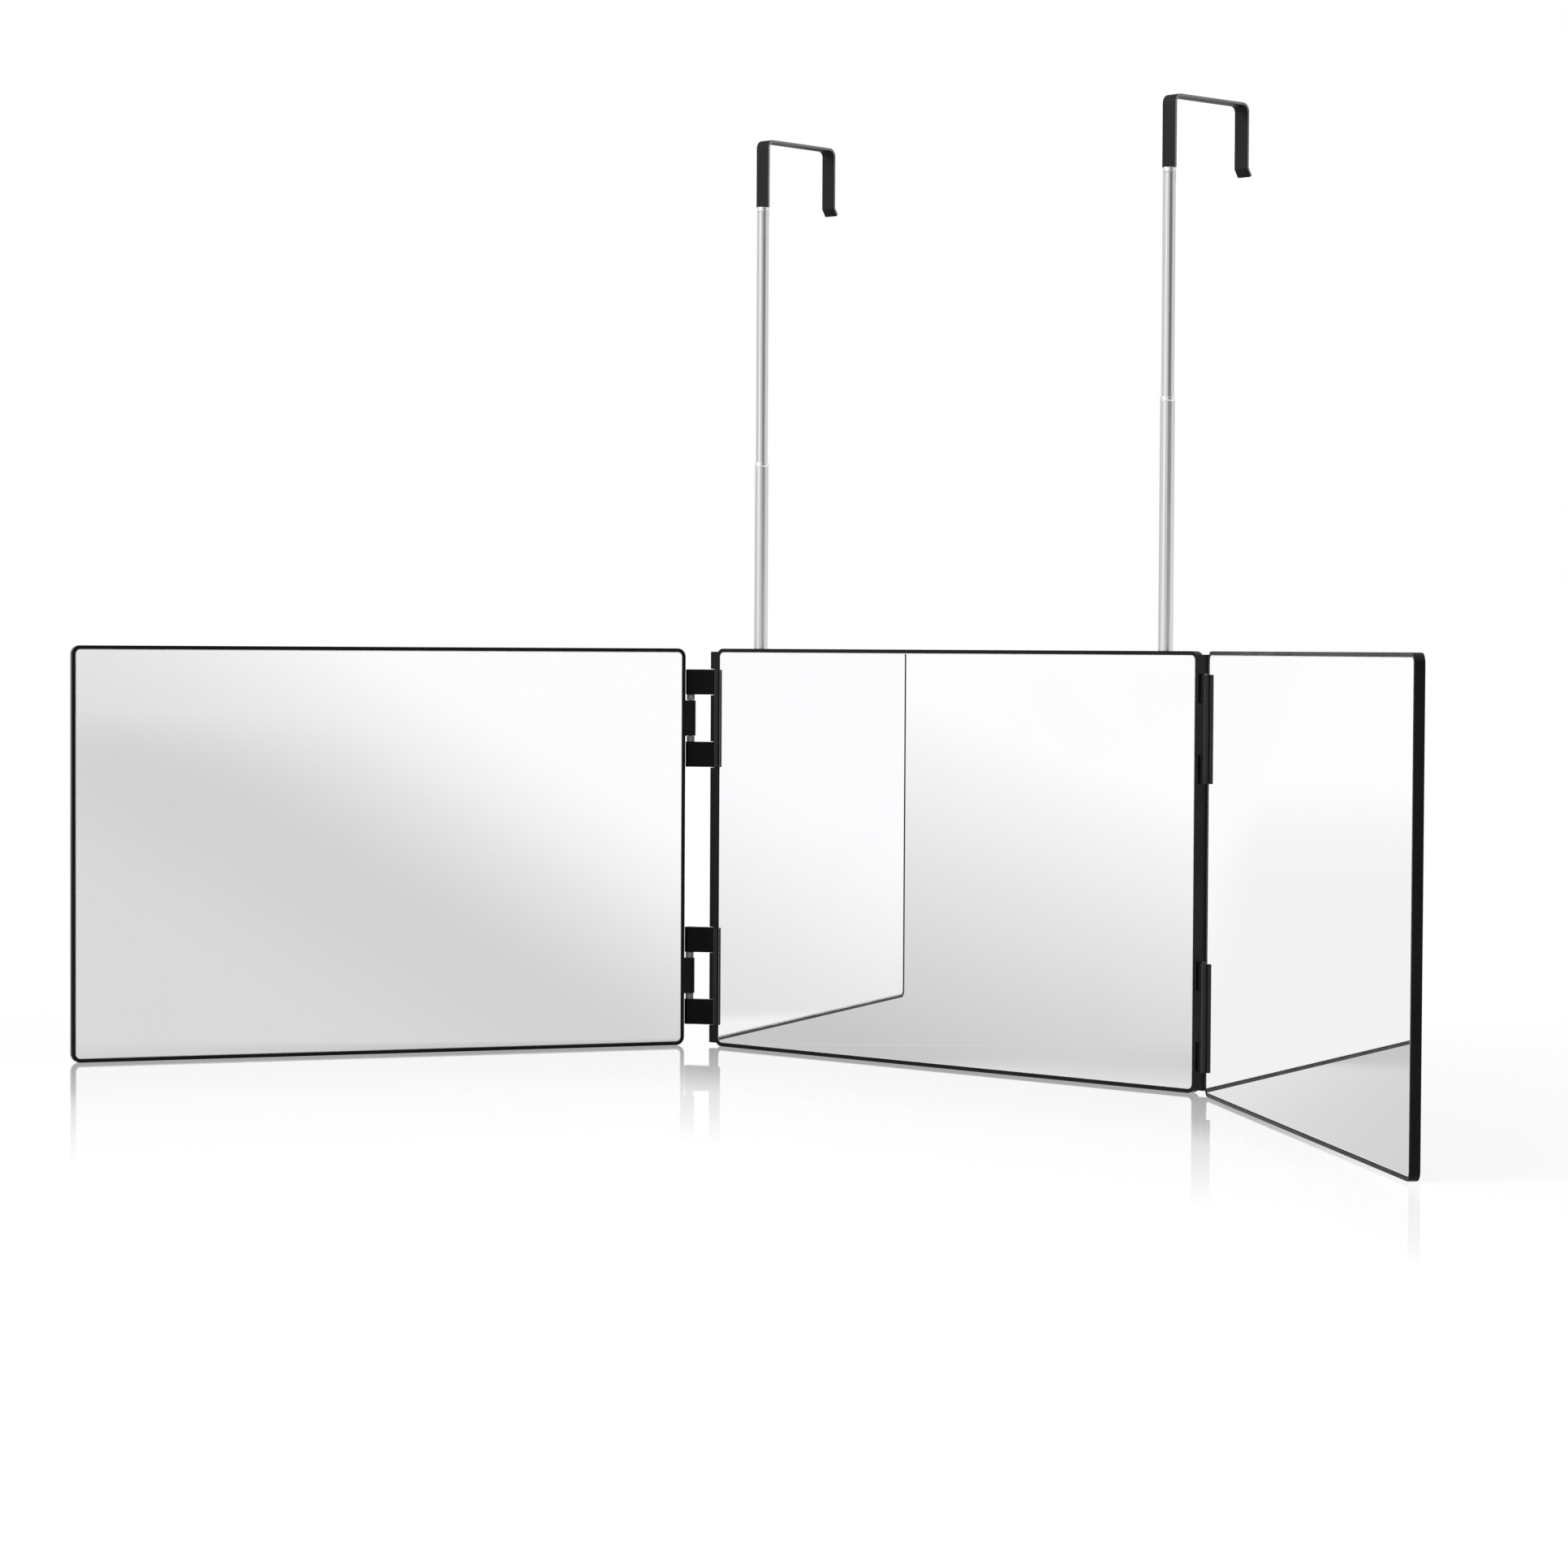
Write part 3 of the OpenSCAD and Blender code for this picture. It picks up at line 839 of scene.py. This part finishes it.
@dataclass
class TelescopicRod:
    """The lower and the upper rod of one side, with the ring where they meet and the hook's stud."""

    shop: Workshop
    side: Side
    wall: float = 0.36 * MM
    mouth: float = 0.12 * MM
    lip_radius: float = 0.12 * MM
    stud_radius: float = 0.25 * MM

    def build(self) -> None:
        """Makes the tubes and the ring, and dresses the stops and the stud."""
        word, title = self.side.value, self.side.value.title()
        self._tube(f"{title}_Lower_Rod_Tube", f"{word}_lower_tube", f"{word}_lower_rod")
        self._tube(f"{title}_Upper_Rod_Tube", f"{word}_upper_tube", f"{word}_upper_rod")
        self._ring(f"{title}_Rod_Ring", f"{word}_lower_ferrule", f"{word}_lower_rod")
        self.shop.ease(f"{title}_Hook_Stud_Turned", f"{word}_hook_stud", f"{word}_hook", "ring_steel",
                       Finish.RING, self.stud_radius)
        self.shop.carry(Finish.NYLON, f"{word}_lower_stop", f"{word}_upper_stop")

    def _tube(self, name: str, node: str, body: str) -> None:
        """Makes a drawn tube whose ends are deburred.

        Args:
            name: The piece's name.
            node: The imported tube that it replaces.
            body: The body that it rides on.
        """
        low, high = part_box(node)
        outer = (high.x - low.x) / 2
        inner = outer - self.wall
        ease = self.mouth
        profile = [
            (inner, low.z + ease), (inner + ease, low.z), (outer - ease, low.z), (outer, low.z + ease),
            (outer, high.z - ease), (outer - ease, high.z), (inner + ease, high.z), (inner, high.z - ease),
        ]
        tube = turned(name, profile, centre_of(node))
        paint(tube, self.shop.material(Finish.TUBE))
        ride(tube, body, "rod_steel", node)

    def _ring(self, name: str, node: str, body: str) -> None:
        """Makes the ring, whose lip is rolled over the tube's end.

        Args:
            name: The piece's name.
            node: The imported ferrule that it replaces.
            body: The body that it rides on.
        """
        low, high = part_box(node)
        tube_low, tube_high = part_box(node.replace("ferrule", "tube"))
        outer, seat = (high.x - low.x) / 2, (tube_high.x - tube_low.x) / 2
        bore = seat - self.wall
        outline = [(seat, low.z), (outer, low.z), (outer, high.z), (bore, high.z), (bore, tube_high.z),
                   (seat, tube_high.z)]
        ring = turned(name, rounded(outline, self.lip_radius), centre_of(node))
        paint(ring, self.shop.material(Finish.RING))
        ride(ring, body, "ring_steel", node)


@dataclass
class DoorHook:
    """The bent strap that passes over a door."""

    shop: Workshop
    side: Side
    turn: float
    width: float = 7.5 * MM
    thickness: float = 1.2 * MM
    gap: float = 46.8 * MM
    bend: float = 2.7 * MM
    flare_height: float = 3.4 * MM
    flare_out: float = 2.3 * MM
    tang_width: float = 3.6 * MM
    tang_length: float = 6.0 * MM
    corner: float = 0.4 * MM
    edge: float = 0.3 * MM
    edge_slope: float = 0.7
    bend_steps: int = 10
    corner_steps: int = 5
    edge_steps: int = 3

    def build(self) -> None:
        """Makes the strap as one bent strip, with a painted highlight in a lighter grey on its side faces.
        """
        word = self.side.value
        node = f"{word}_hook_strap"
        low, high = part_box(node)
        bottom = low.z + self.tang_length
        strap = self._strip(f"{word.title()}_Hook_Strap_Bent", high.z - bottom)
        paint(strap, self.shop.material(Finish.COAT), self.shop.material(Finish.RIM))
        # The side faces take the lighter grey of a painted highlight.
        for face in strap.data.polygons:
            face.material_index = int(abs(face.normal.x) > self.edge_slope)
        place = Matrix.Translation((*centre_of(f"{word}_hook_stud"), bottom))
        strap.data.transform(place @ Matrix.Rotation(self.turn, 4, "Z"))
        ride(strap, f"{word}_hook", "hook_steel", node)

    def _path(self, height: float) -> list[tuple[Vector, Vector, float]]:
        """The strap's middle line, from the tang's end to the flared tip.

        Args:
            height: The strap's height over the stud.

        Returns:
            For each ring its centre, the direction through the thickness and the half width.
        """
        half, tang = self.width / 2, self.tang_width / 2
        radius = self.bend + self.thickness / 2
        reach = self.gap + self.thickness
        top = height - self.thickness / 2
        front, rear = Vector((0, 0, 0)), Vector((0, reach, 0))
        out = Vector((0, 1, 0))
        tang_end = front + Vector((0, 0, -self.tang_length))
        rings = [(tang_end, out, tang), (front, out, tang), (front, out, half)]
        for centre_y, start in ((radius, math.pi), (reach - radius, math.pi / 2)):
            for step in range(self.bend_steps + 1):
                angle = start - (math.pi / 2) * step / self.bend_steps
                ray = Vector((0, math.cos(angle), math.sin(angle)))
                centre = Vector((0, centre_y, top - radius)) + ray * radius
                rings.append((centre, -ray, half))
        lean = Vector((0, self.flare_out, -self.flare_height))
        across = Vector((0, -self.flare_height, -self.flare_out)).normalized()
        knee = rear + Vector((0, 0, self.flare_height))
        rings.append((knee, (-out + across).normalized(), half))
        for step in range(self.corner_steps + 1):
            angle = (math.pi / 2) * step / self.corner_steps
            inset = self.corner * (1 - math.sin(angle))
            narrow = half - self.corner * (1 - math.cos(angle))
            rings.append((knee + lean * (1 - inset / lean.length), across, narrow))
        return rings

    def _strip(self, name: str, height: float) -> bpy.types.Object:
        """Sweeps the strap's section along its path.

        Args:
            name: The object's name.
            height: The strap's height over the stud.

        Returns:
            The strap, with the stud's end of it at the origin.
        """
        mesh = bmesh.new()
        previous: Ring = []
        thick = self.thickness / 2
        path = self._path(height)
        for number, (centre, across, half) in enumerate(path):
            outline = [(-half, -thick), (half, -thick), (half, thick), (-half, thick)]
            section = rounded(outline, self.edge, self.edge_steps)
            ring = [mesh.verts.new(centre + Vector((x, 0, 0)) + across * y) for x, y in section]
            if number in (0, len(path) - 1):
                mesh.faces.new(ring)
            bridge(mesh, previous, ring)
            previous = ring
        return new_object(name, mesh)


@dataclass
class Trimmings:
    """The small parts that fasten and cushion: screws and bumpers."""

    shop: Workshop
    screw_radius: float = 0.06 * MM
    strip_radius: float = 0.35 * MM

    def build(self) -> None:
        """Dresses the screws and the bumpers."""
        self.shop.ease("Cover_Screws_Blackened", "cover_screws", "center", "screw_steel", Finish.SCREW,
                       self.screw_radius)
        self.shop.ease("Center_Bumper_Strips", "center_bumpers", "center", "bumper_rubber", Finish.BUMPER,
                       self.strip_radius)
        self.shop.ease("Right_Bumper_Strips", "right_bumpers", "right_wing", "bumper_rubber", Finish.BUMPER,
                       self.strip_radius, Veil.FAR)


# Studio


@dataclass(frozen=True)
class Sweep:
    """A soft sweep of painted shade over the floor, which fans out from one point.

    Each stop is a direction from that point, in degrees from +X towards +Y, and its value.
    """

    apex: Pair
    stops: Profile
    smooth: bool = True

    def turn(self, board: Board, place: Place) -> Socket:
        """The direction of the floor's points from the sweep's own point, in degrees."""
        along, across = (board.math("SUBTRACT", *pair) for pair in zip(place, self.apex))
        return board.math("DEGREES", board.math("ARCTAN2", across, along))

    def level(self, board: Board, place: Place) -> Socket:
        """The sweep's value over the floor."""
        return board.curve(self.turn(board, place), *self.stops, smooth=self.smooth)


@dataclass(frozen=True)
class PaleFloor:
    """The floor's finish: white to the camera, and to the mirrors a glow in soft grey sweeps of painted
    shade.

    The sweeps' greys are as they are displayed, from 0 to 1. The left sweep is what the left
    mirror sees, the centre sweep what the other two see, and the second sweep what is seen by
    way of two mirrors. A ray is taken to come from the left mirror where the left share is
    high, or where its angle to the left plane fits. The sheen follows the panels' lower edges.
    """

    lit_share: float = 0.15
    bounce_share: float = 0.6
    gamma: float = 2.2

    sheen_roughness: float = 0.02
    sheen_turn: float = math.radians(44.81)
    sheen_edges: Profile = ((-0.374, -0.153), (0.98, 0.007), (6.53, -0.590))
    sheen_fade: Profile = ((0.0, 0.63), (0.11, 0.50), (0.20, 0.24), (0.40, 0.0))
    sheen_left_end: Pair = (-0.50, -0.41)
    sheen_right_end: Pair = (0.11, 0.16)

    left_sweep: Sweep = Sweep(
        (-2.160, 0.488), ((-180, 0.994), (-120, 0.851), (-18.4, 0.851), (-15.1, 0.822), (-8.7, 0.994)))
    # Painted light: the far floor of the left sweep is lifted by up to haze, over this reach and these
    # directions.
    painted_far_light_reach: Pair = (3.0, 11.0)
    painted_far_light_turn: Pair = (-10.5, -14.5)
    haze: float = 0.051
    centre_sweep: Sweep = Sweep(
        (1.667, 1.0495), ((-180, 0.996), (-160, 0.776), (-148.2, 0.776), (-134.8, 0.996)), smooth=False)
    left_share: Sweep = Sweep((0.0, 0.06), ((-115, 0.0), (-70, 1.0), (140, 1.0), (180, 0.0)))
    left_plane: tuple[float, float, float] = (0.910, -0.415, 0.1442)
    left_cosine: float = 0.963
    left_band: Pair = (0.024, 0.045)

    second_sweep: Sweep = Sweep((-0.427, 2.055), ((-91, 0.996), (-83.7, 0.898)))
    second_slope: float = -0.38
    second_split: Pair = (-0.12, -0.05)
    far_reach: Pair = (-1.2, -4.2)
    far_greys: Pair = (0.957, 1.0)

    def build(self) -> bpy.types.Material:
        """Makes the material.

        Returns:
            The material.
        """
        material = bpy.data.materials.new("Pale Floor")
        material.use_nodes = True
        material.cycles.emission_sampling = "NONE"
        board = Board(material.node_tree)
        path = board.add("LightPath")
        position = board.add("SeparateXYZ")
        board.join(board.add("NewGeometry").outputs["Position"], position.inputs[0])
        place = (position.outputs[0], position.outputs[1])
        direct = path.outputs["Is Camera Ray"]
        mirrored = board.math("MAXIMUM", path.outputs["Is Glossy Ray"], path.outputs["Is Transmission Ray"])
        # Mirrors see the painted shade, which the floor gives off as a glow; the camera sees plain white.
        seen = board.mix(direct, self._shade(board, place, path), grey(1.0))
        lit = board.math("MULTIPLY_ADD", path.outputs["Is Diffuse Ray"], self.bounce_share,
                         board.math("MULTIPLY", direct, self.lit_share))
        diffuse = board.add("BsdfDiffuse")
        board.join(board.mix(lit, grey(0.0), seen), diffuse.inputs["Color"])
        glow = board.add("Emission")
        board.join(seen, glow.inputs["Color"])
        glowing = board.math("MULTIPLY_ADD", direct, 1.0 - self.lit_share, mirrored)
        board.join(glowing, glow.inputs["Strength"])
        both = board.add("AddShader")
        board.join(diffuse.outputs[0], both.inputs[0])
        board.join(glow.outputs[0], both.inputs[1])
        polish = board.add("BsdfGlossy")
        polish.inputs["Color"].default_value = grey(1.0)
        polish.inputs["Roughness"].default_value = self.sheen_roughness
        sheen = board.math("MULTIPLY", self._sheen(board, place), direct)
        surface = board.blend(sheen, both, polish)
        board.join(surface.outputs[0], board.add("OutputMaterial").inputs["Surface"])
        return material

    def _sheen(self, board: Board, place: Place) -> Socket:
        """How much the floor mirrors the object, strongest under the panels' lower edges.

        The three edges, seen along the turned axes, are lines of which each is the foremost
        over its own panel.

        Args:
            board: The floor material's board.
            place: The floor's X and Y.

        Returns:
            The sheen's weight.
        """
        x, y = place
        sine, cosine = math.sin(self.sheen_turn), math.cos(self.sheen_turn)
        ahead = board.math("MULTIPLY_ADD", x, sine, board.math("MULTIPLY", y, -cosine))
        aside = board.math("MULTIPLY_ADD", x, cosine, board.math("MULTIPLY", y, sine))
        lines = [board.math("MULTIPLY_ADD", aside, slope, start) for slope, start in self.sheen_edges]
        edge = board.math("MAXIMUM", lines[0], board.math("MAXIMUM", lines[1], lines[2]))
        away = board.math("ABSOLUTE", board.math("SUBTRACT", ahead, edge))
        weight = board.curve(away, *self.sheen_fade, smooth=False)
        ends = board.math("MULTIPLY", board.ramp(aside, *self.sheen_left_end),
                          board.ramp(aside, *self.sheen_right_end, 1.0, 0.0))
        return board.math("MULTIPLY", weight, ends)

    def _from_left(self, board: Board, place: Place, length: Socket) -> Socket:
        """How far a mirrored ray is taken to come from the left mirror.

        Args:
            board: The floor material's board.
            place: The floor's X and Y.
            length: The ray's length from the mirror.

        Returns:
            The share, from 0 to 1.
        """
        (x, y), (across, along, start) = place, self.left_plane
        clear = board.math("MULTIPLY_ADD", x, across, board.math("MULTIPLY_ADD", y, along, start))
        cosine = board.math("DIVIDE", clear, length)
        off = board.math("ABSOLUTE", board.math("SUBTRACT", cosine, self.left_cosine))
        square = board.ramp(off, *self.left_band, 1.0, 0.0)
        return board.math("MAXIMUM", self.left_share.level(board, place), square)

    def _shade(self, board: Board, place: Place, path: bpy.types.Node) -> Socket:
        """The floor's painted shade as the mirrors see it: soft grey sweeps that fan out from far points.

        Args:
            board: The floor material's board.
            place: The floor's X and Y.
            path: The Light Path node.

        Returns:
            The colour.
        """
        x, y = place
        # Painted light: the far floor of the left sweep is made lighter.
        haze = board.math("MULTIPLY", board.ramp(x, *self.painted_far_light_reach, 0.0, self.haze),
                          board.ramp(self.left_sweep.turn(board, place), *self.painted_far_light_turn))
        left = board.math("ADD", self.left_sweep.level(board, place), haze)
        centre = self.centre_sweep.level(board, place)
        from_left = self._from_left(board, place, path.outputs["Ray Length"])
        once = board.ramp(from_left, 0.0, 1.0, centre, left, smooth=False)
        near = self.second_sweep.level(board, place)
        far = board.ramp(x, *self.far_reach, *self.far_greys)
        beside = board.math("MULTIPLY_ADD", x, self.second_slope, y)
        twice = board.ramp(beside, *self.second_split, near, far)
        shown = board.ramp(path.outputs["Glossy Depth"], 1.0, 2.0, once, twice, smooth=False)
        level = board.math("POWER", shown, self.gamma)
        colour = board.add("CombineColor")
        for socket in colour.inputs:
            board.join(level, socket)
        return colour.outputs[0]


@dataclass(frozen=True)
class Patch:
    """A part of the white room that is darker or brighter in what is glossy.

    Its azimuth is in degrees from +X towards +Y. Its rim and its core are cosines of the angle
    from there, and between them its strength goes from the outer one to the inner one.
    """

    azimuth: float
    rim: float
    core: float
    outer: float
    inner: float

    def level(self, board: Board, direction: Socket) -> Socket:
        """The strength in each direction.

        Args:
            board: The world's board.
            direction: The direction.

        Returns:
            The strength.
        """
        turn = math.radians(self.azimuth)
        facing = board.add("VectorMath", operation="DOT_PRODUCT")
        board.join(direction, facing.inputs[0])
        facing.inputs[1].default_value = (math.cos(turn), math.sin(turn), 0.0)
        return board.ramp(facing.outputs["Value"], self.rim, self.core, self.outer, self.inner)


@dataclass
class Studio:
    """The camera, the lamps, the floor and the white surroundings."""

    camera_place: tuple[float, float, float] = (1.30205, -1.41535, 0.1902)
    azimuth: float = math.radians(44.81)
    pitch: float = math.radians(1.83)
    roll: float = math.radians(0.30)
    lens: float = 97.36
    sensor: float = 36.0
    nearest: float = 50 * MM
    farthest: float = 2700.0
    floor_half: float = 900.0
    floor_drop: float = 0.05 * MM
    key_strength: float = 1.3
    fill_strength: float = 0.35
    room_strength: float = 0.74
    second_image: float = 0.88
    flag: Patch = Patch(-15, 0.79, 0.95, 1.0, 0.28)
    strip: Patch = Patch(-93, 0.951, 0.990, 0.0, 0.6)
    back: Patch = Patch(135, 0.5, 0.9, 0.82, 1.0)

    def build(self) -> None:
        """Sets up the whole studio."""
        self._camera()
        self._floor()
        self._room()
        self._lamp("Key_Lamp", azimuth=-122, elevation=26, angle=26, strength=self.key_strength)
        self._lamp("Fill_Lamp", azimuth=10, elevation=55, angle=70, strength=self.fill_strength)
        bpy.context.scene.view_settings.view_transform = "Standard"

    def _camera(self) -> None:
        """Puts the camera where the photograph was taken from."""
        data = bpy.data.cameras.new("Camera")
        data.sensor_width = self.sensor
        data.lens = self.lens
        data.clip_start = self.nearest
        data.clip_end = self.farthest
        camera = bpy.data.objects.new("Camera", data)
        bpy.context.scene.collection.objects.link(camera)
        camera.matrix_world = (
            Matrix.Translation(self.camera_place)
            @ Matrix.Rotation(self.azimuth, 4, "Z")
            @ Matrix.Rotation(math.pi / 2 - self.pitch, 4, "X")
            @ Matrix.Rotation(self.roll, 4, "Z")
        )
        bpy.context.scene.camera = camera

    def _lamp(self, name: str, azimuth: float, elevation: float, angle: float, strength: float) -> None:
        """Adds a broad distant lamp.

        Args:
            name: The lamp's name.
            azimuth: The direction that it stands in, in degrees from +X towards +Y.
            elevation: Its height above the horizon, in degrees.
            angle: Its apparent size, in degrees.
            strength: Its strength.
        """
        data = bpy.data.lights.new(name, "SUN")
        data.energy = strength
        data.angle = math.radians(angle)
        lamp = bpy.data.objects.new(name, data)
        bpy.context.scene.collection.objects.link(lamp)
        turn, rise = math.radians(azimuth), math.radians(elevation)
        towards = Vector((math.cos(turn) * math.cos(rise), math.sin(turn) * math.cos(rise), math.sin(rise)))
        lamp.rotation_euler = towards.to_track_quat("Z", "Y").to_euler()

    def _floor(self) -> None:
        """Makes the pale floor, a hair below the panels so that no faces coincide."""
        mesh = bmesh.new()
        bmesh.ops.create_grid(mesh, x_segments=1, y_segments=1, size=self.floor_half)
        floor = new_object("Studio_Floor", mesh)
        floor.location.z = -self.floor_drop
        paint(floor, PaleFloor().build())

    def _room(self) -> None:
        """Surrounds the object with white, with a dark flag and a bright strip for what is glossy."""
        world = bpy.data.worlds.new("Studio_Room")
        world.use_nodes = True
        bpy.context.scene.world = world
        board = Board(world.node_tree)
        path = board.add("LightPath")
        direction = board.add("TexCoord").outputs["Generated"]
        flag, strip, back = (patch.level(board, direction) for patch in (self.flag, self.strip, self.back))
        first = board.math("MULTIPLY_ADD", back, flag, strip)
        pattern = board.ramp(path.outputs["Glossy Depth"], 1.0, 2.0, first, self.second_image, smooth=False)
        direct = path.outputs["Is Camera Ray"]
        mirrored = board.math("MAXIMUM", path.outputs["Is Glossy Ray"], path.outputs["Is Transmission Ray"])
        shown = board.math("MAXIMUM", direct, board.math("MULTIPLY", mirrored, pattern))
        lighting = board.math("SUBTRACT", 1.0, board.math("MAXIMUM", direct, mirrored))
        strength = board.math("MULTIPLY_ADD", lighting, self.room_strength, shown)
        background = board.add("Background")
        background.inputs["Color"].default_value = grey(1.0)
        board.join(strength, background.inputs["Strength"])
        board.join(background.outputs[0], board.add("OutputWorld").inputs["Surface"])


def clear_scene() -> None:
    """Removes whatever Blender starts with."""
    for item in list(bpy.data.objects):
        bpy.data.objects.remove(item)


def main() -> None:
    """Builds the studio and every sub-assembly."""
    logging.basicConfig(level=logging.INFO, format="%(message)s")
    clear_scene()
    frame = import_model()
    Studio().build()
    shop = Workshop(frame)
    hook_turns = {Side.LEFT: math.radians(4.0), Side.RIGHT: math.radians(-1.5)}
    parts: list[object] = [
        MirrorPanel(shop, "center", "center"),
        MirrorPanel(shop, "left", "left_wing", Veil.REPEATED),
        MirrorPanel(shop, "right", "right_wing", Veil.FAR),
        Trimmings(shop),
    ]
    for side in Side:
        parts += [LinkHinge(shop, side), RodGuide(shop, side), TelescopicRod(shop, side),
                  DoorHook(shop, side, hook_turns[side])]
    for part in parts:
        part.build()


if __name__ == "__main__":
    main()
